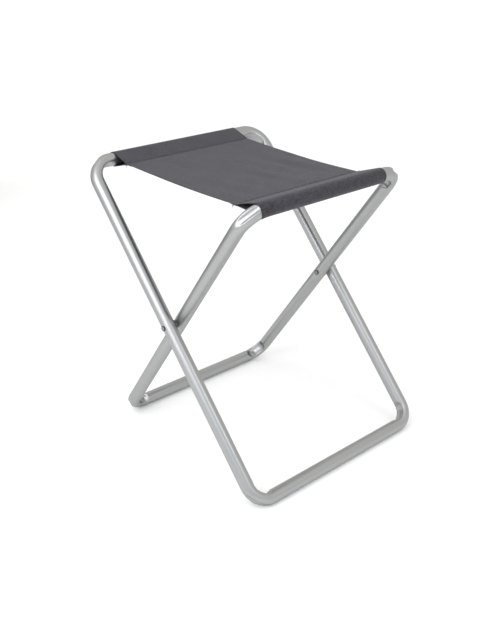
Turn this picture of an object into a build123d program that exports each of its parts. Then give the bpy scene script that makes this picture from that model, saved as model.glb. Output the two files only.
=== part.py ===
from build123d import *
import math
import os

# Folding camp stool, opened. Millimetres, +Z up, origin on the floor at the middle of the stool.
# X runs across the seat from rail to rail, and Y runs along the rails and the pivot line.
# The outer frame leans from its foot rail at +X to its seat rail at -X, and the inner frame the other way.

# Tube
TUBE_OD = 19.0
TUBE_WALL = 1.2
TUBE_R = TUBE_OD / 2
BORE_R = TUBE_R - TUBE_WALL
SEAT_BEND_R = 33.0
FOOT_BEND_R = 28.0
BUTT_GAP = 0.2

# Frames: two loops of tube, measured between tube centres
LEG_GAP = 1.5
OUTER_WIDTH = 321.0
INNER_WIDTH = OUTER_WIDTH - 2 * (TUBE_OD + LEG_GAP)
OUTER_LENGTH = 527.0
INNER_LENGTH = 484.0
SEAT_RAIL_Z = 402.0
FOOT_RAIL_Z = TUBE_R
FRAME_RISE = SEAT_RAIL_Z - FOOT_RAIL_Z
PIVOT_SHARE = 0.509
PIVOT_Z = FOOT_RAIL_Z + PIVOT_SHARE * FRAME_RISE

# Dent that the bending tool leaves on the inner side of each bend
DENT_DEPTH = 5.5
DENT_TOOL_R = 9.0
DENT_SPAN = 60.0

# Splice tube inside each seat rail, where the ends of the loop meet
SPLICE_LENGTH = 70.0
SPLICE_WALL = 1.5
SPLICE_CLEARANCE = 0.03

# Pivot rivets and spacers
RIVET_R = 2.5
RIVET_HEAD_R = 4.0
RIVET_HEAD_HEIGHT = 1.0
RIVET_HEAD_ROUND = 0.6
RIVET_BORE_R = 1.3
RIVET_BORE_DEPTH = 6.0
FIXED_CLEARANCE = 0.02
RUNNING_CLEARANCE = 0.05
SPACER_R = 6.2

# Seat cloth: a pocket round each seat rail, sewn shut some way in, and one layer between the seams
CLOTH = 0.8
POCKET_R = TUBE_R + 1.0
POCKET_OUT_R = POCKET_R + CLOTH
OUTER_POCKET = 36.0
INNER_POCKET = 42.0
SEAM_DROP = 2.0
SEAT_SAG = 2.5
SOFT_GAP = 0.3
# Lowest and highest Y of the cloth on each rail: it sits a little off centre, and is narrower on the inner rail
OUTER_HEM = (-121.0, 109.0)
INNER_HEM = (-114.0, 101.0)
EDGE_BOW = 1.0

# Sewing
THREAD_WIDTH = 0.8
THREAD_HEIGHT = 0.3
THREAD_GAP = 0.05
TACK_LENGTH = 6.0
TACK_WIDTH = 2.0
TACK_INSET = 2.5


def lean(length):
    """How far a loop of this length leans over above the pivot and below it."""
    run = math.sqrt(length**2 - FRAME_RISE**2)
    return run * (1 - PIVOT_SHARE), run * PIVOT_SHARE


OUTER_HEAD_RUN, OUTER_FOOT_RUN = lean(OUTER_LENGTH)
INNER_HEAD_RUN, INNER_FOOT_RUN = lean(INNER_LENGTH)
# The pivot is placed so that the whole stool, from the outer pocket to the outer foot rail, is centred in X.
PIVOT_X = (OUTER_HEAD_RUN + POCKET_OUT_R - OUTER_FOOT_RUN - TUBE_R) / 2
OUTER_RAIL_X = PIVOT_X - OUTER_HEAD_RUN
OUTER_FOOT_X = PIVOT_X + OUTER_FOOT_RUN
INNER_RAIL_X = PIVOT_X + INNER_HEAD_RUN
INNER_FOOT_X = PIVOT_X - INNER_FOOT_RUN
SEAM_Z = SEAT_RAIL_Z - SEAM_DROP
OUTER_SEAM_X = OUTER_RAIL_X + OUTER_POCKET
INNER_SEAM_X = INNER_RAIL_X - INNER_POCKET


def frame_plane(foot_x, rail_x):
    """Plane of a leaning loop: local X along the rails, local Y up the legs from the foot rail."""
    up = Vector(rail_x - foot_x, 0, FRAME_RISE).normalized()
    return Plane(origin=(foot_x, 0, FOOT_RAIL_Z), x_dir=(0, 1, 0), z_dir=Vector(0, 1, 0).cross(up))


OUTER_PLANE = frame_plane(OUTER_FOOT_X, OUTER_RAIL_X)
INNER_PLANE = frame_plane(INNER_FOOT_X, INNER_RAIL_X)


def loop_path(plane, width, length):
    """Centre line of a loop, from butt end to butt end in the middle of the seat rail."""
    half = width / 2
    corners = [
        (BUTT_GAP / 2, length),
        (half, length),
        (half, 0),
        (-half, 0),
        (-half, length),
        (-BUTT_GAP / 2, length),
    ]
    radii = [SEAT_BEND_R, FOOT_BEND_R, FOOT_BEND_R, SEAT_BEND_R]
    return plane * FilletPolyline(*corners, radius=radii)


def rod(path, radius):
    """Round bar along a path."""
    return sweep((path ^ 0) * Circle(radius), path=path)


def dent_tools(plane, width, length, radius):
    """The bending tool at the inner side of the four bends, as round-ended bars of this radius."""
    tools = []
    for side in (-1, 1):
        for end, bend_r in ((-1, FOOT_BEND_R), (1, SEAT_BEND_R)):
            centre_y = bend_r if end < 0 else length - bend_r
            centre = (side * (width / 2 - bend_r), centre_y)
            arc_r = bend_r - TUBE_R + DENT_DEPTH - DENT_TOOL_R
            middle = math.degrees(math.atan2(end, side))
            arc = plane * CenterArc(centre, arc_r, middle - DENT_SPAN / 2, DENT_SPAN)
            tools.append(rod(arc, radius))
            for share in (0, 1):
                tools.append(Pos(*(arc @ share)) * Sphere(radius))
    return tools


def pivot_bar(y_low, y_high, radius):
    """Disc or bar on the pivot line between two values of Y."""
    middle = (y_low + y_high) / 2
    return Pos(PIVOT_X, middle, PIVOT_Z) * Rot(X=90) * Cylinder(radius, y_high - y_low)


def leg_bar(plane, width, length, radius):
    """Straight bar along the axis of the leg on the +Y side."""
    return plane.location * Pos(width / 2, length / 2) * Rot(X=90) * Cylinder(radius, length)


def bent_tube(plane, width, length, hole_r):
    """A loop of tube with a dent inside each bend and a rivet hole through each leg."""
    path = loop_path(plane, width, length)
    outside = rod(path, TUBE_R) - dent_tools(plane, width, length, DENT_TOOL_R)
    inside = rod(path, BORE_R) - dent_tools(plane, width, length, DENT_TOOL_R + TUBE_WALL)
    return outside - inside - pivot_bar(-OUTER_WIDTH, OUTER_WIDTH, hole_r)


def splice(rail_x):
    """Short tube that joins the two butt ends inside a seat rail."""
    radius = BORE_R - SPLICE_CLEARANCE
    ring = Cylinder(radius, SPLICE_LENGTH) - Cylinder(radius - SPLICE_WALL, SPLICE_LENGTH)
    return Pos(rail_x, 0, SEAT_RAIL_Z) * Rot(X=90) * ring


def rivet():
    """The rivet on the +Y side: a head that fits the outer leg, and a flat open tail the inner leg turns on."""
    head_y = OUTER_WIDTH / 2 + TUBE_R
    tail_y = INNER_WIDTH / 2 - TUBE_R - RUNNING_CLEARANCE
    end_y = tail_y - RIVET_HEAD_HEIGHT
    head = pivot_bar(OUTER_WIDTH / 2, head_y + RIVET_HEAD_HEIGHT, RIVET_HEAD_R)
    head = fillet(head.edges().sort_by(Axis.Y)[-1], RIVET_HEAD_ROUND)
    head -= leg_bar(OUTER_PLANE, OUTER_WIDTH, OUTER_LENGTH, TUBE_R + FIXED_CLEARANCE)
    tail = pivot_bar(end_y, tail_y, RIVET_HEAD_R)
    tail = fillet(tail.edges().sort_by(Axis.Y)[0], RIVET_HEAD_ROUND)
    shank = pivot_bar(end_y + RIVET_HEAD_ROUND, head_y + RIVET_HEAD_HEIGHT / 2, RIVET_R)
    return head + shank + tail - pivot_bar(end_y, end_y + RIVET_BORE_DEPTH, RIVET_BORE_R)


def spacer():
    """The nylon spacer on the +Y side: a saddle on the outer leg, with a flat face to the inner leg."""
    flat_y = INNER_WIDTH / 2 + TUBE_R + RUNNING_CLEARANCE
    body = pivot_bar(flat_y, OUTER_WIDTH / 2, SPACER_R)
    body -= leg_bar(OUTER_PLANE, OUTER_WIDTH, OUTER_LENGTH, TUBE_R + FIXED_CLEARANCE)
    return body - pivot_bar(flat_y, OUTER_WIDTH / 2, RIVET_R + FIXED_CLEARANCE)


def both_sides(solid):
    """A piece on the +Y side and its mirror image on the -Y side."""
    return Compound(children=[solid, mirror(solid, about=Plane.XZ)])


def along_y(section, y_low, y_high):
    """Extrude a section, drawn with X across the seat and Y up, along the rails."""
    return extrude(Pos(0, y_low, 0) * (Plane.XZ * section), amount=y_high - y_low, dir=(0, 1, 0))


def pocket_angles(rail_x, seam_x):
    """Start and size, in degrees about the rail, of the stretch where the cloth lies on the rail."""
    towards_seam = math.degrees(math.atan2(-SEAM_DROP, seam_x - rail_x))
    reach = math.hypot(seam_x - rail_x, SEAM_DROP)
    free = math.degrees(math.acos((POCKET_R + CLOTH / 2) / reach))
    return towards_seam + free, 360 - 2 * free


def wrap(rail_x, seam_x, hem):
    """The cloth that lies round a seat rail."""
    start, size = pocket_angles(rail_x, seam_x)
    outer = CenterArc((rail_x, SEAT_RAIL_Z), POCKET_OUT_R, start, size)
    inner = CenterArc((rail_x, SEAT_RAIL_Z), POCKET_R, start, size)
    outline = [outer, Line(outer @ 1, inner @ 1), inner, Line(inner @ 0, outer @ 0)]
    return along_y(make_face(outline), *hem)


def pocket_layers(rail_x, seam_x):
    """Section of the two layers of cloth that run from a wrapped rail to its seam."""
    start, size = pocket_angles(rail_x, seam_x)
    seam = Vector(seam_x, SEAM_Z)
    layers = []
    for angle in (start, start + size):
        side = Vector(1, 0).rotate(Axis.Z, angle)
        leaves = Vector(rail_x, SEAT_RAIL_Z) + side * (POCKET_R + CLOTH / 2)
        along = (seam - leaves).normalized()
        first = leaves + along * SOFT_GAP
        half = side * (CLOTH / 2)
        layers.append(make_face(Polyline(first - half, first + half, seam + half, seam - half, close=True)))
    return layers


def edge_y(x, hem_end):
    """Y of the cloth's side edge at X: hem_end 0 is the edge at -Y and 1 the one at +Y."""
    share = (x - OUTER_RAIL_X) / (INNER_RAIL_X - OUTER_RAIL_X)
    straight = OUTER_HEM[hem_end] + share * (INNER_HEM[hem_end] - OUTER_HEM[hem_end])
    inward = 1 if hem_end == 0 else -1
    return straight + inward * EDGE_BOW * 4 * share * (1 - share)


def cloth_outline():
    """Block with the outline of the seat cloth seen from above."""
    stations = [OUTER_RAIL_X + share * (INNER_RAIL_X - OUTER_RAIL_X) for share in (0, 0.25, 0.5, 0.75, 1)]
    low = Spline([(x, edge_y(x, 0)) for x in stations])
    high = Spline([(x, edge_y(x, 1)) for x in stations])
    face = make_face([low, Line(low @ 1, high @ 1), high, Line(high @ 0, low @ 0)])
    height = 4 * POCKET_OUT_R
    return Pos(0, 0, SEAT_RAIL_Z - height / 2) * extrude(face, amount=height, dir=(0, 0, 1))


def seat_panel():
    """The single layer between the seams, with the two layers of each pocket up to its rail."""
    middle_x = (OUTER_SEAM_X + INNER_SEAM_X) / 2
    arcs = []
    for half in (-CLOTH / 2, CLOTH / 2):
        sagged = (middle_x, SEAM_Z - SEAT_SAG + half)
        arcs.append(ThreePointArc((OUTER_SEAM_X, SEAM_Z + half), sagged, (INNER_SEAM_X, SEAM_Z + half)))
    under, over = arcs
    section = make_face([under, Line(under @ 1, over @ 1), over, Line(over @ 0, under @ 0)])
    for layer in pocket_layers(OUTER_RAIL_X, OUTER_SEAM_X) + pocket_layers(INNER_RAIL_X, INNER_SEAM_X):
        section += layer
    return along_y(section, *OUTER_HEM) & cloth_outline()


def seam_thread(seam_x, inward):
    """The row of stitches along a seam, as one thin strip on the single layer just inside the seam."""
    x = seam_x + inward * THREAD_WIDTH
    margin = TACK_INSET + TACK_WIDTH
    y_low = edge_y(x, 0) + margin
    y_high = edge_y(x, 1) - margin
    z = SEAM_Z + CLOTH / 2 + THREAD_GAP + THREAD_HEIGHT / 2
    return Pos(x, (y_low + y_high) / 2, z) * Box(THREAD_WIDTH, y_high - y_low, THREAD_HEIGHT)


def corner_tacks():
    """The bar of close stitches at each end of both seams."""
    tacks = []
    z = SEAM_Z + CLOTH / 2 + THREAD_GAP + THREAD_HEIGHT / 2
    for seam_x, inward in ((OUTER_SEAM_X, 1), (INNER_SEAM_X, -1)):
        x = seam_x + inward * (THREAD_WIDTH + TACK_LENGTH) / 2
        for hem_end, into in ((0, 1), (1, -1)):
            y = edge_y(x, hem_end) + into * TACK_INSET
            tacks.append(Pos(x, y, z) * Box(TACK_LENGTH, TACK_WIDTH, THREAD_HEIGHT))
    return Compound(children=tacks)


nodes = {
    "outer_frame_tube": bent_tube(OUTER_PLANE, OUTER_WIDTH, OUTER_LENGTH, RIVET_R + FIXED_CLEARANCE),
    "inner_frame_tube": bent_tube(INNER_PLANE, INNER_WIDTH, INNER_LENGTH, RIVET_R + RUNNING_CLEARANCE),
    "outer_rail_splice": splice(OUTER_RAIL_X),
    "inner_rail_splice": splice(INNER_RAIL_X),
    "pivot_rivets": both_sides(rivet()),
    "pivot_spacers": both_sides(spacer()),
    "outer_rail_wrap": wrap(OUTER_RAIL_X, OUTER_SEAM_X, OUTER_HEM),
    "inner_rail_wrap": wrap(INNER_RAIL_X, INNER_SEAM_X, INNER_HEM),
    "seat_panel": seat_panel(),
    "outer_seam_thread": seam_thread(OUTER_SEAM_X, 1),
    "inner_seam_thread": seam_thread(INNER_SEAM_X, -1),
    "corner_tacks": corner_tacks(),
}

os.makedirs("parts", exist_ok=True)
for name, solid in nodes.items():
    export_step(solid, f"parts/{name}.step")
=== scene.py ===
import math

import bpy
import numpy as np
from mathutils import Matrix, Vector


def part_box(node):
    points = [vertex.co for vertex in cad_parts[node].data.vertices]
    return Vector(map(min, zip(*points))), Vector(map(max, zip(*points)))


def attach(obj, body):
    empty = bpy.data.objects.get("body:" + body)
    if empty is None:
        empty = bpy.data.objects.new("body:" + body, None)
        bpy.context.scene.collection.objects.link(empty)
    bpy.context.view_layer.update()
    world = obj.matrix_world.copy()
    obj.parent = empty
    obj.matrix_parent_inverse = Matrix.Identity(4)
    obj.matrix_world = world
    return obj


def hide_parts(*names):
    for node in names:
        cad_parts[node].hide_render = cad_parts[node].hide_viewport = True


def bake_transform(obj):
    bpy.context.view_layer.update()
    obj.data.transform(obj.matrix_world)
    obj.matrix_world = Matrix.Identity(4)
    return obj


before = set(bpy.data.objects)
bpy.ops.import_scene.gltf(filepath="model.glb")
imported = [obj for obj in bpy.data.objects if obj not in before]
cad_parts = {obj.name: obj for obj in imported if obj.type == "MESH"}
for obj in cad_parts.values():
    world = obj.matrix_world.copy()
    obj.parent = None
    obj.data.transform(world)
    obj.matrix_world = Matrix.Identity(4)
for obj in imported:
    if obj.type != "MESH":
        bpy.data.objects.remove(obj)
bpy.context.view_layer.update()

SEED = 7

# Camera: where it looks, from which side, and how far away
CAMERA_AIM = Vector((0.0022, -0.0151, 0.1817))
CAMERA_AZIMUTH = 48.06
CAMERA_ELEVATION = 25.38
CAMERA_DISTANCE = 1.256
CAMERA_LENS = 48.2

# Studio: brightness of its walls, of what the ceiling adds and of the floor's glow, where 1 shows as white
FRONT_AZIMUTH = 20
FRONT_SPREAD = 0.9
FRONT_WALL = 1.1
FRONT_TINT = (0.965, 0.985, 1.0, 1)
BACK_WALL = 0.92
BACK_TINT = (1.0, 0.995, 0.955, 1)
CEILING = 0.25
CEILING_STARTS = 55
CEILING_FULL = 72
FLOOR_GLOW = 0.10
FLOOR_HALF_SIZE = 12.0

# Grey card beside the stool, as wide and as high as CARD_SIZE
CARD_AZIMUTH = -75
CARD_DISTANCE = 1.4
CARD_SIZE = (1.3, 0.34)

# Lamps: where they all aim, and the colour of the cool one
LIGHT_AIM = Vector((0, 0, 0.2))
COOL = (0.55, 0.80, 1.0)

# Tube: its stations are BEND_STEP apart in the bends and for NEAR_BEND beyond them
TUBE_R = 0.0095
SEAT_BEND_R = 0.033
FOOT_BEND_R = 0.028
RING_SIDES = 80
BEND_STEP = 0.0009
STRAIGHT_STEP = 0.012
NEAR_BEND = 0.009

# Dish pressed into the inside of each bend, with a low ridge across its middle, and the groove where the
# outside has sunk. The section is also a share WIDEN wider there.
DISH_DEPTH = 0.0060
DISH_TOOL_R = 0.016
DISH_HALF_LENGTH = 0.0255
DISH_RIM = 0.0005
DISH_RIDGE = 0.13
DISH_RIDGE_HALF_LENGTH = 0.006
DISH_END_POWER = 5
GROOVE_DEPTH = 0.0040
GROOVE_TOOL_R = 0.006
GROOVE_HALF_LENGTH = 0.0180
GROOVE_RIM = 0.0022
GROOVE_END_POWER = 1.5
WIDEN = 0.05

# Cloth: its thickness, how it lies round the rails, and where its seams are
CLOTH = 0.0006
WRAP_R = 0.0103
WRAP_DROP = 0.0002
OUTER_REACH = 0.035
OUTER_DROP = 0.0005
INNER_REACH = 0.042
INNER_DROP = 0.0035
HEM_TURN = 0.010
LAYER_GAP = 0.0008
SEAT_SAG = 0.0025
EDGE_BOW = 0.001
CLOTH_STEP = 0.0020
WRAP_STEP = 0.0013
YARN_PITCH = 0.0006

# How far the inner pocket's near end reaches past the CAD's, round the bend, how closely it follows the tube
# there, and how fast it comes to do so from the seam towards the rail
INNER_PAST_CAD = 0.0085
BEND_FOLLOWED = 0.6
FOLLOW_RISE = 1.6

# Relief of the cloth: the valley along a seam, its puckers, and the ripples of the panel, which grow and
# shrink over the seat by a level and some waves. A wave is its share, its radians per metre of X and of Y,
# and its phase.
SEAM_VALLEY = 0.0006
SEAM_VALLEY_WIDTH = 0.0022
PUCKER = 0.0003
PUCKER_REACH = 0.018
PUCKER_STITCHES = 3.7
PUCKER_LEVEL = 0.6
PUCKER_WAVES = ((0.4, 0, 47, 1.3),)
RIPPLE = 0.0005
RIPPLE_WAVES = ((1.0, 9, 95, 0), (0.6, -23, 171, 1.1))
SLACK_LEVEL = 0.55
SLACK_WAVES = ((0.45, 31, 14, 0.4),)

# Sewing: lifts and THREAD_SUNK are how far a thread rises out of the cloth and how deep its ends lie in it,
# as shares of its radius, and THREAD_END is how thick its ends are
THREAD_R = 0.00040
THREAD_SUNK = 0.8
THREAD_END = 0.55
STITCH_PITCH = 0.0034
STITCH_LENGTH = 0.0022
STITCH_LIFT = 1.3
TACK_LENGTH = 0.0065
TACK_WIDTH = 0.0048
TACK_INSET = 0.0015
TACK_THREADS = 8
TACK_LIFT = 2.0

# Cut thread ends at the corners of the seams: where they start from the cloth's corner, the ranges of their
# directions and of their size, and how far they curl
TAILS_PER_CORNER = 6
TAIL_LENGTH = 0.0060
TAIL_R = 0.9 * THREAD_R
TAIL_SPREAD = 0.003
TAIL_INSET = 0.0008
TAIL_ABOVE = 0.0004
TAIL_ALONG_SEAT = (-0.7, 0.7)
TAIL_OUTWARD = (0.5, 1.0)
TAIL_UPWARD = (-0.5, 0.6)
TAIL_SIZE = (0.6, 1.2)
TAIL_CURL = 0.0015

# Rivets: the head keeps its plain plate colour inside the first radius, and has painted shade outside the
# second, for the shaded dimple round it
RIVET_PLAIN_R = 0.0021
RIVET_SHADED_R = 0.0033


class Loop:
    """A leaning loop of tube, measured from its CAD node."""

    def __init__(self, node, foot_side):
        low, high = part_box(node)
        foot_x = high.x - TUBE_R if foot_side > 0 else low.x + TUBE_R
        rail_x = low.x + TUBE_R if foot_side > 0 else high.x - TUBE_R
        self.half_width = (high.y - low.y) / 2 - TUBE_R
        self.foot = Vector((foot_x, 0, low.z + TUBE_R))
        self.rail = Vector((rail_x, 0, high.z - TUBE_R))
        self.length = (self.rail - self.foot).length
        self.up = (self.rail - self.foot).normalized()
        self.across = Vector((0, 1, 0))
        self.normal = self.across.cross(self.up)

    def point(self, y, v):
        return self.foot + self.across * y + self.up * v


outer = Loop("outer_frame_tube", 1)
inner = Loop("inner_frame_tube", -1)


# ---------------------------------------------------------------- materials


class Nodes:
    """Short calls to build up a node tree."""

    def __init__(self, tree):
        self.tree = tree

    def add(self, kind, inputs=None, **settings):
        node = self.tree.nodes.new("ShaderNode" + kind)
        for name, value in settings.items():
            setattr(node, name, value)
        for socket, value in (inputs or {}).items():
            self.put(node.inputs[socket], value)
        return node

    def put(self, socket, value):
        """Links an output to this socket, or sets a constant."""
        if isinstance(value, bpy.types.NodeSocket):
            self.tree.links.new(value, socket)
        else:
            socket.default_value = value

    def coordinates(self, kind, scale):
        """Texture coordinates of this kind, scaled along each axis."""
        source = self.add("TexCoord").outputs[kind]
        return self.add("Mapping", {"Vector": source, "Scale": scale}).outputs["Vector"]

    def noise(self, vector, scale, detail=3.0, roughness=0.5):
        inputs = {"Vector": vector, "Scale": scale, "Detail": detail, "Roughness": roughness}
        return self.add("TexNoise", inputs).outputs["Fac"]

    def math(self, operation, a, b=0.0):
        return self.add("Math", {0: a, 1: b}, operation=operation).outputs[0]

    def weighted(self, *parts):
        """Sum of (value, share) pairs."""
        total = 0.0
        for value, share in parts:
            total = self.math("ADD", total, self.math("MULTIPLY", value, share))
        return total

    def ramp(self, value, low, high, to_low, to_high, smooth=False):
        inputs = {"Value": value, "From Min": low, "From Max": high, "To Min": to_low, "To Max": to_high}
        kind = "SMOOTHSTEP" if smooth else "LINEAR"
        return self.add("MapRange", inputs, interpolation_type=kind).outputs["Result"]

    def spread(self, noise, to_low, to_high):
        """Maps a noise to this range, from the middle range where most of its values are."""
        return self.ramp(noise, 0.3, 0.7, to_low, to_high)

    def mix(self, factor, a, b):
        return self.add("Mix", {0: factor, 6: a, 7: b}, data_type="RGBA").outputs[2]


class Material(Nodes):
    """A node material with one Principled shader."""

    def __init__(self, name, **constants):
        self.data = bpy.data.materials.new(name)
        self.data.use_nodes = True
        super().__init__(self.data.node_tree)
        self.shader = self.tree.nodes["Principled BSDF"]
        for socket, value in constants.items():
            self.put(self.shader.inputs[socket.replace("_", " ")], value)

    def feed(self, socket, value):
        self.put(self.shader.inputs[socket], value)

    def bump(self, height, strength, distance):
        inputs = {"Height": height, "Strength": strength, "Distance": distance}
        self.feed("Normal", self.add("Bump", inputs).outputs["Normal"])


def aluminium():
    """Satin drawn aluminium tube: fine lines along it, a faint haze and a few handling marks."""
    dark, light, stain = (0.382, 0.384, 0.388, 1), (0.396, 0.396, 0.398, 1), (0.30, 0.30, 0.31, 1)
    m = Material("bright_aluminium", Metallic=1.0, Anisotropic=0.3, Specular_Tint=(0.8, 0.8, 0.8, 1))
    lines = m.noise(m.coordinates("UV", (14, 2600, 1)), 1.0, 2.0)
    bands = m.noise(m.coordinates("UV", (2.5, 190, 1)), 1.0, 3.0)
    haze = m.noise(m.coordinates("Object", (1, 1, 1)), 22.0, 4.0, 0.5)
    marks = m.noise(m.coordinates("UV", (300, 70, 1)), 1.0, 6.0, 0.7)
    mark = m.ramp(marks, 0.68, 0.74, 0.0, 1.0)
    tone = m.weighted((bands, 0.6), (haze, 0.4))
    colour = m.mix(m.spread(tone, 0.0, 1.0), dark, light)
    m.feed("Base Color", m.mix(m.math("MULTIPLY", mark, 0.05), colour, stain))
    m.feed("Roughness", m.weighted((m.spread(haze, 0.335, 0.347), 1.0), (lines, 0.03), (mark, 0.03)))
    m.bump(m.weighted((lines, 0.5), (bands, 0.5)), 0.008, 0.00004)
    return m.data


def weave(m, pitch):
    """A plain weave on UV coordinates in metres.

    Returns its height, from 0 between the yarns to 1 on top of one, and 0 or 1 for which yarn is on top.
    """
    uv = m.add("SeparateXYZ", {0: m.add("TexCoord").outputs["UV"]})
    u = m.math("MULTIPLY", uv.outputs[0], math.pi / pitch)
    v = m.math("MULTIPLY", uv.outputs[1], math.pi / pitch)
    warp = m.math("ABSOLUTE", m.math("SINE", u))
    weft = m.math("ABSOLUTE", m.math("SINE", v))
    turn = m.math("MULTIPLY", m.math("COSINE", u), m.math("COSINE", v))
    over = m.ramp(turn, -0.35, 0.35, 0.0, 1.0)
    return m.add("Mix", {0: over, 2: warp, 3: weft}, data_type="FLOAT").outputs[0], over


def polyester():
    """Charcoal polyester in a plain weave of slightly uneven yarns, with painted shade between the yarns and
    a faint sheen.
    """
    dark, light, between = (0.006, 0.0059, 0.0080, 1), (0.062, 0.0583, 0.0725, 1), (0.010, 0.0095, 0.013, 1)
    sheen = {"Sheen_Weight": 0.15, "Sheen_Tint": (0.93, 0.90, 1.0, 1), "Sheen_Roughness": 0.45}
    m = Material("grey_polyester", Specular_IOR_Level=0.30, **sheen)
    height, over = weave(m, YARN_PITCH)
    fine_u = m.noise(m.coordinates("UV", (40, 1700, 1)), 1.0, 3.0)
    fine_v = m.noise(m.coordinates("UV", (1700, 40, 1)), 1.0, 3.0)
    thick_u = m.noise(m.coordinates("UV", (180, 800, 1)), 1.0, 2.0)
    thick_v = m.noise(m.coordinates("UV", (800, 180, 1)), 1.0, 2.0)
    fine = m.add("Mix", {0: over, 2: fine_u, 3: fine_v}, data_type="FLOAT").outputs[0]
    thick = m.weighted((thick_u, 0.5), (thick_v, 0.5))
    cloudy = m.noise(m.coordinates("Object", (1, 1, 1)), 26.0, 4.0)
    tone = m.weighted((fine, 0.35), (thick, 0.57), (cloudy, 0.08))
    colour = m.mix(m.ramp(tone, 0.40, 0.60, 0.0, 1.0), dark, light)
    # Painted shade: the colour darkens towards near-black where the weave is low, between the yarns, for the
    # shade that falls there.
    shade = m.ramp(height, 0.0, 0.8, 0.70, 1.0)
    m.feed("Base Color", m.mix(shade, between, colour))
    m.feed("Roughness", m.spread(fine, 0.66, 0.84))
    m.bump(m.weighted((height, 1.0), (fine, 0.5)), 0.6, 0.00022)
    return m.data


def thread():
    """Spun polyester sewing thread, a shade darker than the cloth."""
    dark, light = (0.012, 0.012, 0.014, 1), (0.030, 0.029, 0.032, 1)
    m = Material("grey_thread", Sheen_Weight=0.3, Roughness=0.7, Specular_IOR_Level=0.3)
    place = m.coordinates("Object", (1, 1, 1))
    twist = m.add("TexWave", {"Vector": place, "Scale": 900.0, "Distortion": 1.5})
    fuzz = m.noise(place, 2500.0, 2.0)
    m.feed("Base Color", m.mix(fuzz, dark, light))
    m.bump(twist.outputs["Fac"], 0.5, 0.00008)
    return m.data


def zinc():
    """Dull zinc plate on the rivets in patches, with painted shade round the rim of each head for the shaded
    dimple round it.
    """
    dull, bright, rim_shade = (0.19, 0.235, 0.225, 1), (0.30, 0.35, 0.34, 1), (0.035, 0.037, 0.033, 1)
    m = Material("zinc_steel", Metallic=1.0)
    low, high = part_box("pivot_rivets")
    pivot = (low + high) / 2
    place = m.add("TexCoord").outputs["Object"]
    away = m.add("VectorMath", {0: place, 1: (pivot.x, 0, pivot.z)}, operation="SUBTRACT").outputs["Vector"]
    from_axis = m.add("VectorMath", {0: away, 1: (1, 0, 1)}, operation="MULTIPLY").outputs["Vector"]
    radius = m.add("VectorMath", {0: from_axis}, operation="LENGTH").outputs["Value"]
    # Painted shade: each head darkens towards its rim, outside the first radius, for the shaded dimple round
    # it.
    rim = m.ramp(radius, RIVET_PLAIN_R, RIVET_SHADED_R, 0.0, 1.0, smooth=True)
    patches = m.noise(m.coordinates("Object", (1, 1, 1)), 600.0, 4.0)
    grain = m.noise(m.coordinates("Object", (1, 1, 1)), 4000.0, 2.0)
    plate = m.mix(patches, dull, bright)
    m.feed("Base Color", m.mix(m.math("MULTIPLY", rim, 0.8), plate, rim_shade))
    m.feed("Roughness", m.weighted((m.spread(patches, 0.28, 0.44), 1.0), (rim, 0.2)))
    m.bump(grain, 0.2, 0.00005)
    return m.data


def nylon():
    """Dark moulded nylon with a fine matt grain."""
    dark, light = (0.045, 0.047, 0.052, 1), (0.085, 0.088, 0.095, 1)
    m = Material("black_nylon", Specular_IOR_Level=0.4)
    grain = m.noise(m.coordinates("Object", (1, 1, 1)), 2600.0, 3.0)
    wear = m.noise(m.coordinates("Object", (1, 1, 1)), 420.0, 3.0)
    m.feed("Base Color", m.mix(wear, dark, light))
    m.feed("Roughness", m.spread(wear, 0.42, 0.6))
    m.bump(grain, 0.3, 0.00006)
    return m.data


def floor_paper():
    """Pale matt paper for the floor, which glows a little."""
    dark, light = (0.87, 0.87, 0.87, 1), (0.90, 0.90, 0.90, 1)
    m = Material("floor_paper", Roughness=0.9, Specular_IOR_Level=0.1)
    fibre = m.noise(m.coordinates("Object", (1, 1, 1)), 60.0, 4.0)
    m.feed("Base Color", m.mix(fibre, dark, light))
    m.feed("Emission Color", (1, 1, 1, 1))
    m.feed("Emission Strength", FLOOR_GLOW)
    return m.data


MATERIALS = {
    "bright_aluminium": aluminium(),
    "grey_polyester": polyester(),
    "grey_thread": thread(),
    "zinc_steel": zinc(),
    "black_nylon": nylon(),
}


def mesh_object(name, points, faces, slot, uvs=None):
    """A smooth-shaded mesh object. uvs is one pair for each corner of each face, in order."""
    mesh = bpy.data.meshes.new(name)
    mesh.from_pydata([tuple(p) for p in points], [], faces)
    if uvs is not None:
        layer = mesh.uv_layers.new(name="UVMap")
        layer.data.foreach_set("uv", np.asarray(uvs, np.float32).ravel())
    mesh.shade_smooth()
    mesh.materials.append(MATERIALS[slot])
    obj = bpy.data.objects.new(name, mesh)
    bpy.context.scene.collection.objects.link(obj)
    return obj


# ---------------------------------------------------------------- frame tubes


def straight(start, end, inward):
    """Stations along a straight stretch between two bends, as (y, v, inward y, inward v).

    They are close together near the bends, because the pressed places run a little past the bends' ends.
    """
    start, end = np.array(start), np.array(end)
    length = float(np.linalg.norm(end - start))
    fine = np.arange(0, NEAR_BEND, BEND_STEP)
    count = round((length - 2 * NEAR_BEND) / STRAIGHT_STEP)
    coarse = NEAR_BEND + (length - 2 * NEAR_BEND) * np.arange(count) / count
    places = [*fine, *coarse, *(length - NEAR_BEND + fine)]
    return [(*(start + (end - start) * place / length), *inward) for place in places]


def bend(centre, radius, start_angle):
    """Stations round a bend that turns a quarter clockwise from start_angle."""
    count = round(radius * math.pi / 2 / BEND_STEP)
    stations = []
    for i in range(count):
        angle = start_angle - math.pi / 2 * i / count
        out = np.array((math.cos(angle), math.sin(angle)))
        stations.append((*(np.array(centre) + out * radius), *(-out)))
    return stations


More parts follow.
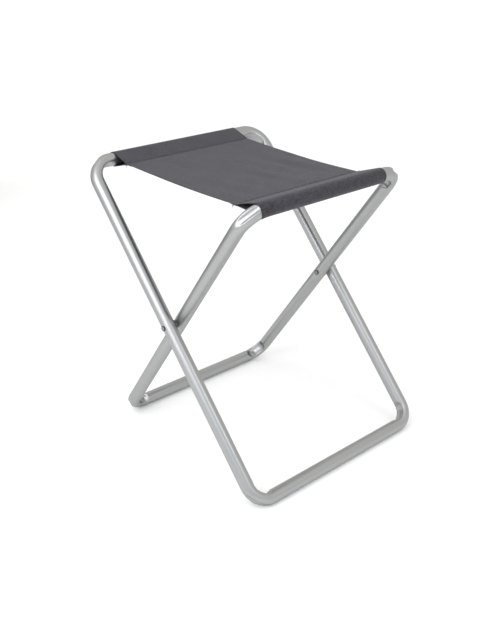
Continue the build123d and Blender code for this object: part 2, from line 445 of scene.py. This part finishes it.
def loop_stations(loop):
    """Stations all the way round a loop, clockwise from the start of a bend.

    Also returns how far along the loop each one is, and how far along it the middle of each bend is.
    """
    w, length = loop.half_width, loop.length
    s, f = SEAT_BEND_R, FOOT_BEND_R
    quarter = math.pi / 2
    stretches = [
        bend((w - s, length - s), s, quarter),
        straight((w, length - s), (w, f), (-1, 0)),
        bend((w - f, f), f, 0),
        straight((w - f, 0), (f - w, 0), (0, 1)),
        bend((f - w, f), f, -quarter),
        straight((-w, f), (-w, length - s), (1, 0)),
        bend((s - w, length - s), s, -2 * quarter),
        straight((s - w, length), (w - s, length), (0, -1)),
    ]
    stations = [station for stretch in stretches for station in stretch]
    places = np.array([station[:2] for station in stations])
    steps = np.linalg.norm(np.roll(places, -1, axis=0) - places, axis=1)
    along = np.concatenate([[0], np.cumsum(steps)])
    # The stretches are bends and straights by turns.
    ends = np.cumsum([0] + [len(stretch) for stretch in stretches])
    middles = [(along[ends[i]] + along[ends[i + 1]]) / 2 for i in range(0, len(stretches), 2)]
    return stations, along, middles


def smooth_min(a, b, rim):
    """The smaller of two lengths, rounded over where they are within about rim of each other."""
    return (a + b - math.sqrt((a - b) ** 2 + rim**2)) / 2


def pressed(angle, depth, tool_r, rim):
    """Distance of the tube's wall from its axis, at this angle from where a round tool has pressed it in."""
    reach = TUBE_R - depth + tool_r
    under_root = tool_r**2 - (reach * math.sin(angle)) ** 2
    if depth <= 0 or under_root <= 0:
        return TUBE_R
    return smooth_min(TUBE_R, reach * math.cos(angle) - math.sqrt(under_root), min(rim, depth))


def ring_point(angle, from_middle):
    """A point of the tube's section at this distance from the middle of a bend.

    Given as lengths towards the bend's centre and out of its plane.
    """
    dish_share = min(1.0, from_middle / DISH_HALF_LENGTH)
    groove_share = min(1.0, from_middle / GROOVE_HALF_LENGTH)
    ridge = DISH_RIDGE * math.exp(-((from_middle / DISH_RIDGE_HALF_LENGTH) ** 2))
    dish = (1 - dish_share**DISH_END_POWER) * (1 - ridge)
    groove = (1 - groove_share**2) ** GROOVE_END_POWER
    if math.cos(angle) > 0:
        radius = pressed(angle, DISH_DEPTH * dish, DISH_TOOL_R, DISH_RIM)
    else:
        radius = pressed(angle - math.pi, GROOVE_DEPTH * groove, GROOVE_TOOL_R, GROOVE_RIM)
    return radius * math.cos(angle), radius * math.sin(angle) * (1 + WIDEN * groove)


def frame_tube(name, loop, node, body):
    """The bent tube of one frame, replacing its CAD node."""
    stations, along, middles = loop_stations(loop)
    points = []
    for (y, v, in_y, in_v), place in zip(stations, along):
        centre = loop.point(y, v)
        inward = loop.across * in_y + loop.up * in_v
        from_middle = min(min(abs(place - middle), along[-1] - abs(place - middle)) for middle in middles)
        for k in range(RING_SIDES):
            a, b = ring_point(2 * math.pi * k / RING_SIDES, from_middle)
            points.append(centre + inward * a + loop.normal * b)
    # The UVs run round to the outside of the bends and back again, so that no seam shows in the grain.
    faces, uvs = [], []
    girth = 2 * math.pi * TUBE_R
    for i in range(len(stations)):
        j = (i + 1) % len(stations)
        for k in range(RING_SIDES):
            m = (k + 1) % RING_SIDES
            faces.append((i * RING_SIDES + k, i * RING_SIDES + m, j * RING_SIDES + m, j * RING_SIDES + k))
            v0, v1 = (girth * min(side_k, RING_SIDES - side_k) / RING_SIDES for side_k in (k, k + 1))
            uvs += [(along[i], v0), (along[i], v1), (along[i + 1], v1), (along[i + 1], v0)]
    tube = mesh_object(name, points, faces, "bright_aluminium", uvs)
    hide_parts(node)
    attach(tube, body)


# ---------------------------------------------------------------- seat cloth


def hem(node, past_cad=0.0):
    """Lowest and highest Y of the cloth on a rail. Its lower end may reach past the CAD's."""
    low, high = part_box(node)
    return low.y - past_cad, high.y


OUTER_HEM = hem("outer_rail_wrap")
INNER_HEM = hem("inner_rail_wrap", INNER_PAST_CAD)


def wrap_centre(loop):
    """X and Z of the middle of the cloth's round part, which hangs a little below the rail's."""
    return np.array((loop.rail.x, loop.rail.z - WRAP_DROP))


def seam_point(loop):
    """X and Z of the seam that closes the pocket on this loop's rail."""
    if loop is outer:
        return np.array((loop.rail.x + OUTER_REACH, loop.rail.z - OUTER_DROP))
    return np.array((loop.rail.x - INNER_REACH, loop.rail.z - INNER_DROP))


def line(start, end, step):
    """Points from start up to, but not including, end."""
    count = max(2, round(float(np.linalg.norm(end - start)) / step))
    return [start + (end - start) * i / count for i in range(count)]


def pocket(loop, towards):
    """Section of the cloth from the hem's end, under and round the rail, and back over it to the seam.

    The seam is towards +X of the rail where towards is 1, and towards -X of it where towards is -1.
    """
    seam = seam_point(loop)
    under = seam - np.array((0, LAYER_GAP))
    centre = wrap_centre(loop)
    axis = seam - centre
    reach = float(np.linalg.norm(axis))
    heading = math.atan2(axis[1], axis[0])
    free = math.acos(WRAP_R / reach)
    # The lower tangent point is on the other side of the axis for a seam at +X than for one at -X.
    first, last = heading - towards * free, heading - towards * (2 * math.pi - free)
    count = round(WRAP_R * abs(last - first) / WRAP_STEP)
    angles = [first + (last - first) * i / count for i in range(count)]
    round_rail = [centre + WRAP_R * np.array((math.cos(a), math.sin(a))) for a in angles]
    top = centre + WRAP_R * np.array((math.cos(last), math.sin(last)))
    turn = under + np.array((towards * HEM_TURN, 0))
    section = line(turn, under, CLOTH_STEP) + line(under, round_rail[0], CLOTH_STEP)
    return section + round_rail + line(top, seam, CLOTH_STEP)


def cloth_section():
    """Section of the whole cloth, from hem end to hem end, and which of its points are the two seams."""
    left = pocket(outer, 1)
    right = pocket(inner, -1)
    start, end = seam_point(outer), seam_point(inner)
    middle = []
    for point in line(start, end, CLOTH_STEP):
        share = (point[0] - start[0]) / (end[0] - start[0])
        middle.append(point - np.array((0, SEAT_SAG * 4 * share * (1 - share))))
    return np.array(left + middle + [end] + right[::-1]), len(left), len(left) + len(middle)


def edge_y(x, side):
    """Y of the cloth's side edge at X: side 0 is the edge at -Y and 1 the one at +Y."""
    share = (x - outer.rail.x) / (inner.rail.x - outer.rail.x)
    share = min(1.0, max(0.0, share))
    straight_y = OUTER_HEM[side] + share * (INNER_HEM[side] - OUTER_HEM[side])
    return straight_y + (1 - 2 * side) * EDGE_BOW * 4 * share * (1 - share)


def follow_bend(point, loop, seam):
    """Moves a point of a pocket that reaches past the straight rail, so that it bends down with the tube."""
    straight_y = loop.half_width - SEAT_BEND_R
    beyond = abs(point[1]) - straight_y
    near_rail = 1 - abs(point[0] - loop.rail.x) / abs(seam[0] - loop.rail.x)
    if beyond <= 0 or near_rail <= 0:
        return point
    weight = BEND_FOLLOWED * min(1.0, near_rail * FOLLOW_RISE)
    offset = Vector(point) - loop.rail
    radius = SEAT_BEND_R + offset.dot(loop.up)
    turned = beyond / SEAT_BEND_R
    bent = loop.rail + loop.normal * offset.dot(loop.normal)
    bent += loop.up * (radius * math.cos(turned) - SEAT_BEND_R)
    bent.y = math.copysign(straight_y + radius * math.sin(turned), point[1])
    return tuple(Vector(point).lerp(bent, weight))


def cloth_grid():
    """Points of the cloth's middle surface, as an array of section by width, and its rows at the seams."""
    section, first_seam, last_seam = cloth_section()
    columns = round((OUTER_HEM[1] - OUTER_HEM[0]) / CLOTH_STEP)
    grid = np.zeros((len(section), columns + 1, 3))
    for i, (x, z) in enumerate(section):
        low, high = edge_y(x, 0), edge_y(x, 1)
        loop = outer if x < 0 else inner
        for j in range(columns + 1):
            point = (x, low + (high - low) * j / columns, z)
            grid[i, j] = follow_bend(point, loop, seam_point(loop))
    return grid, first_seam, last_seam


def waves(x, y, terms):
    """Sum of some waves at a place on the cloth."""
    return sum(share * math.sin(rate_x * x + rate_y * y + phase) for share, rate_x, rate_y, phase in terms)


def relief(x, y, seam_x, away):
    """Height of the puckered valley that a seam pulls into the cloth, on the side of it that is away."""
    offset = (x - seam_x) * away
    valley = -SEAM_VALLEY * math.exp(-((offset / SEAM_VALLEY_WIDTH) ** 2))
    fade = math.exp(-max(0.0, offset) / PUCKER_REACH)
    pucker = math.sin(2 * math.pi * y / (STITCH_PITCH * PUCKER_STITCHES))
    return valley + PUCKER * fade * pucker * (PUCKER_LEVEL + waves(x, y, PUCKER_WAVES))


def ripple(x, y):
    """Slight waves of the taut panel, as pulled threads and handling leave them."""
    return RIPPLE * waves(x, y, RIPPLE_WAVES) * (SLACK_LEVEL + waves(x, y, SLACK_WAVES))


def shape_panel(grid, first_seam, last_seam):
    """Adds the seams' valleys and the ripples to the layer between the seams, and lays the hems under it."""
    x_first, x_last = grid[first_seam, 0, 0], grid[last_seam, 0, 0]
    for i in range(first_seam, last_seam + 1):
        for j in range(grid.shape[1]):
            x, y = grid[i, j, :2]
            share = (x - x_first) / (x_last - x_first)
            free = math.sin(math.pi * min(1.0, max(0.0, share)))
            lift = relief(x, y, x_first, 1) + relief(x, y, x_last, -1) + ripple(x, y) * free
            grid[i, j, 2] += lift
    gap = np.array((0, 0, LAYER_GAP))
    turn_rows = round(HEM_TURN / CLOTH_STEP)
    for i in range(turn_rows + 1):
        grid[i] = grid[first_seam + turn_rows - i] - gap
        grid[-1 - i] = grid[last_seam - turn_rows + i] - gap


def grid_mesh(name, grid, slot):
    """A mesh over a grid of points, with UVs in metres along the sheet, and the length of its section."""
    rows, columns = grid.shape[:2]
    along = np.concatenate([[0], np.cumsum(np.linalg.norm(np.diff(grid[:, columns // 2], axis=0), axis=1))])
    across = np.concatenate([[0], np.cumsum(np.linalg.norm(np.diff(grid[rows // 2], axis=0), axis=1))])
    faces, uvs = [], []
    for i in range(rows - 1):
        for j in range(columns - 1):
            a = i * columns + j
            faces.append((a, a + 1, a + columns + 1, a + columns))
            uvs += [(along[i], across[j]), (along[i], across[j + 1])]
            uvs += [(along[i + 1], across[j + 1]), (along[i + 1], across[j])]
    return mesh_object(name, grid.reshape(-1, 3), faces, slot, uvs), along[-1]


def bend_with_seat(obj):
    """Bakes the object's placement into its mesh; the cloth and its sewing are not tied to either frame
    here.
    """
    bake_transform(obj)


def apply_modifiers(obj):
    """Replaces the mesh by what its modifiers make of it."""
    graph = bpy.context.evaluated_depsgraph_get()
    mesh = bpy.data.meshes.new_from_object(obj.evaluated_get(graph))
    obj.modifiers.clear()
    obj.data = mesh


grid, first_seam, last_seam = cloth_grid()
shape_panel(grid, first_seam, last_seam)
cloth, cut_length = grid_mesh("seat_cloth", grid, "grey_polyester")
thick = cloth.modifiers.new("thickness", "SOLIDIFY")
thick.thickness = CLOTH
thick.offset = 0
apply_modifiers(cloth)
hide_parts("seat_panel", "outer_rail_wrap", "inner_rail_wrap")
bend_with_seat(cloth)

frame_tube("outer_frame_bent_tube", outer, "outer_frame_tube", "outer_frame")
frame_tube("inner_frame_bent_tube", inner, "inner_frame_tube", "inner_frame")

for node, slot in (("outer_rail_splice", "bright_aluminium"), ("inner_rail_splice", "bright_aluminium"),
                   ("pivot_rivets", "zinc_steel"), ("pivot_spacers", "black_nylon")):
    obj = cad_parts[node]
    obj.data.materials.clear()
    obj.data.materials.append(MATERIALS[slot])


# ---------------------------------------------------------------- sewing


def surface_normal(i, j):
    """Upward normal of the cloth at a grid point."""
    along = grid[min(i + 1, len(grid) - 1), j] - grid[max(i - 1, 0), j]
    across = grid[i, min(j + 1, grid.shape[1] - 1)] - grid[i, max(j - 1, 0)]
    normal = np.cross(along, across)
    normal /= np.linalg.norm(normal)
    return normal if normal[2] > 0 else -normal


def thread_faces(sides, rings):
    """Faces of a short thread: its side between the first ring of points and the last, and both ends."""
    faces = []
    for i in range(rings):
        for k in range(sides):
            m = (k + 1) % sides
            faces.append((i * sides + k, i * sides + m, (i + 1) * sides + m, (i + 1) * sides + k))
    faces.append(tuple(range(sides))[::-1])
    faces.append(tuple(rings * sides + k for k in range(sides)))
    return faces


def thread_piece(start, end, normal, lift, sides=6, rings=6):
    """Points and faces of one stitch: a short thread that rises out of the cloth and dips back in."""
    points = []
    forward = end - start
    length = np.linalg.norm(forward)
    forward = forward / length
    side = np.cross(normal, forward)
    for i in range(rings + 1):
        share = i / rings
        arch = math.sin(math.pi * share)
        centre = start + forward * length * share + normal * (lift * arch - THREAD_R * THREAD_SUNK)
        radius = THREAD_R * (THREAD_END + (1 - THREAD_END) * arch)
        for k in range(sides):
            angle = 2 * math.pi * k / sides
            points.append(centre + radius * (math.cos(angle) * side + math.sin(angle) * normal))
    return points, thread_faces(sides, rings)


def join(name, pieces, slot):
    """One object of many (points, faces) pieces."""
    points, faces = [], []
    for some_points, some_faces in pieces:
        base = len(points)
        points += some_points
        faces += [tuple(base + k for k in face) for face in some_faces]
    return mesh_object(name, points, faces, slot)


def row_point(i, y):
    """Point of the cloth's top side on grid row i at this Y."""
    ys = grid[i, :, 1]
    j = int(np.clip(np.searchsorted(ys, y) - 1, 0, len(ys) - 2))
    share = (y - ys[j]) / (ys[j + 1] - ys[j])
    return grid[i, j] + (grid[i, j + 1] - grid[i, j]) * share + surface_normal(i, j) * CLOTH / 2


def seam_row(name, i, node):
    """The row of stitches along grid row i, between the tacks."""
    low, high = grid[i, 0, 1] + TACK_WIDTH * 2, grid[i, -1, 1] - TACK_WIDTH * 2
    count = int((high - low) / STITCH_PITCH)
    normal = surface_normal(i, grid.shape[1] // 2)
    pieces = []
    for k in range(count):
        y = low + (high - low) * (k + 0.5) / count
        start = row_point(i, y - STITCH_LENGTH / 2)
        end = row_point(i, y + STITCH_LENGTH / 2)
        pieces.append(thread_piece(start, end, normal, THREAD_R * STITCH_LIFT))
    obj = join(name, pieces, "grey_thread")
    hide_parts(node)
    bend_with_seat(obj)


seam_row("outer_seam_stitches", first_seam + 1, "outer_seam_thread")
seam_row("inner_seam_stitches", last_seam - 1, "inner_seam_thread")


def tack_bars():
    """Four bars of close stitches, one at each end of both seams."""
    reach = np.array((TACK_LENGTH / 2, 0, 0))
    pieces = []
    for i in (first_seam, last_seam):
        normal = surface_normal(i, grid.shape[1] // 2)
        for edge_column, inward in ((0, 1), (-1, -1)):
            edge = grid[i, edge_column, 1]
            for k in range(TACK_THREADS):
                middle = row_point(i, edge + inward * (TACK_INSET + TACK_WIDTH * k / (TACK_THREADS - 1)))
                pieces.append(thread_piece(middle - reach, middle + reach, normal, THREAD_R * TACK_LIFT))
    obj = join("corner_bar_tacks", pieces, "grey_thread")
    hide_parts("corner_tacks")
    bend_with_seat(obj)


def tail_piece(start, heading, curl, size, sides=5, rings=8):
    """Points and faces of one curling thread end."""
    points = []
    side = np.cross(heading, (0, 0, 1.0))
    side /= np.linalg.norm(side)
    lift = np.cross(side, heading)
    for i in range(rings + 1):
        share = i / rings
        centre = start + heading * TAIL_LENGTH * size * share + curl * TAIL_CURL * size * share**2
        for k in range(sides):
            angle = 2 * math.pi * k / sides
            points.append(centre + TAIL_R * (math.cos(angle) * side + math.sin(angle) * lift))
    return points, thread_faces(sides, rings)


def thread_tails():
    """A few cut thread ends that stand out at the corners of the seams."""
    rng = np.random.default_rng(SEED)
    pieces = []
    for i in (first_seam, last_seam):
        for outward, j in ((-1, 0), (1, -1)):
            for _ in range(TAILS_PER_CORNER):
                beside = rng.uniform(-TAIL_SPREAD, TAIL_SPREAD)
                start = grid[i, j] + np.array((beside, -outward * TAIL_INSET, TAIL_ABOVE))
                heading_x = rng.uniform(*TAIL_ALONG_SEAT)
                heading_y = outward * rng.uniform(*TAIL_OUTWARD)
                heading = np.array((heading_x, heading_y, rng.uniform(*TAIL_UPWARD)))
                curl = rng.uniform(-1, 1, 3)
                size = rng.uniform(*TAIL_SIZE)
                pieces.append(tail_piece(start, heading / np.linalg.norm(heading), curl, size))
    obj = join("loose_thread_tails", pieces, "grey_thread")
    bend_with_seat(obj)


tack_bars()
thread_tails()


# ---------------------------------------------------------------- floor, light and camera


def flat_object(name, corners, material):
    """A flat four-cornered object of the studio."""
    mesh = bpy.data.meshes.new(name)
    mesh.from_pydata(corners, [], [(0, 1, 2, 3)])
    mesh.materials.append(material)
    obj = bpy.data.objects.new(name, mesh)
    bpy.context.scene.collection.objects.link(obj)
    return obj


def make_floor():
    half = FLOOR_HALF_SIZE
    corners = [(-half, -half, 0), (half, -half, 0), (half, half, 0), (-half, half, 0)]
    floor = flat_object("floor", corners, floor_paper())


def side(azimuth, elevation):
    """Unit vector from the stool towards this side, with angles in degrees measured as the camera's are."""
    a, e = math.radians(azimuth), math.radians(elevation)
    return Vector((math.sin(a) * math.cos(e), -math.cos(a) * math.cos(e), math.sin(e)))


def face_back(obj, back):
    """Turns a lamp or camera so that it looks against the direction back."""
    obj.rotation_mode = "QUATERNION"
    obj.rotation_quaternion = (-back).to_track_quat("-Z", "Y")


def soft_box(name, azimuth, elevation, distance, size, brightness, colour=(1, 1, 1)):
    """A square area light that faces the stool. Brightness is that of its face, where 1 shows as white."""
    data = bpy.data.lights.new(name, "AREA")
    data.color = colour
    data.size = size
    data.energy = brightness * math.pi * size**2
    light = bpy.data.objects.new(name, data)
    back = side(azimuth, elevation)
    light.location = LIGHT_AIM + back * distance
    face_back(light, back)
    bpy.context.scene.collection.objects.link(light)


def make_card():
    """A low grey card out of view on the left, which darkens the left edges of the inner frame's tubes."""
    grey = Material("grey_card", Roughness=0.9, Base_Color=(0.30, 0.30, 0.30, 1))
    middle = side(CARD_AZIMUTH, 0) * CARD_DISTANCE
    along = side(CARD_AZIMUTH + 90, 0) * CARD_SIZE[0] / 2
    up = Vector((0, 0, CARD_SIZE[1]))
    corners = [middle - along, middle + along, middle + along + up, middle - along + up]
    card = flat_object("card", corners, grey.data)
    card.visible_camera = False


def make_world():
    """Pale studio walls, a little darker and warmer behind, and brighter towards the ceiling."""
    world = bpy.data.worlds.new("studio")
    world.use_nodes = True
    nodes = Nodes(world.node_tree)
    direction = nodes.add("TexCoord").outputs["Generated"]
    front = nodes.add("VectorMath", {0: direction, 1: side(FRONT_AZIMUTH, 0)}, operation="DOT_PRODUCT")
    height = nodes.add("SeparateXYZ", {0: direction}).outputs[2]
    frontness = nodes.ramp(front.outputs["Value"], -FRONT_SPREAD, FRONT_SPREAD, 0.0, 1.0, smooth=True)
    walls = nodes.ramp(frontness, 0.0, 1.0, BACK_WALL, FRONT_WALL)
    starts, full = side(0, CEILING_STARTS).z, side(0, CEILING_FULL).z
    ceiling = nodes.ramp(height, starts, full, 0.0, CEILING, smooth=True)
    background = world.node_tree.nodes["Background"]
    nodes.put(background.inputs["Color"], nodes.mix(frontness, BACK_TINT, FRONT_TINT))
    nodes.put(background.inputs["Strength"], nodes.math("ADD", walls, ceiling))
    bpy.context.scene.world = world


def make_camera():
    data = bpy.data.cameras.new("camera")
    data.lens = CAMERA_LENS
    camera = bpy.data.objects.new("camera", data)
    back = side(CAMERA_AZIMUTH, CAMERA_ELEVATION)
    camera.location = CAMERA_AIM + back * CAMERA_DISTANCE
    face_back(camera, back)
    bpy.context.scene.collection.objects.link(camera)
    bpy.context.scene.camera = camera


make_floor()
make_card()
make_world()
soft_box("key", azimuth=8, elevation=42, distance=1.17, size=0.78, brightness=2.8)
soft_box("low_front", azimuth=-2, elevation=15, distance=1.3, size=0.24, brightness=3.8)
soft_box("fill", azimuth=95, elevation=40, distance=1.2, size=0.40, brightness=2.4)
soft_box("cool_side", azimuth=38, elevation=27, distance=1.7, size=0.35, brightness=1.5, colour=COOL)
make_camera()
bpy.context.scene.view_settings.view_transform = "Standard"
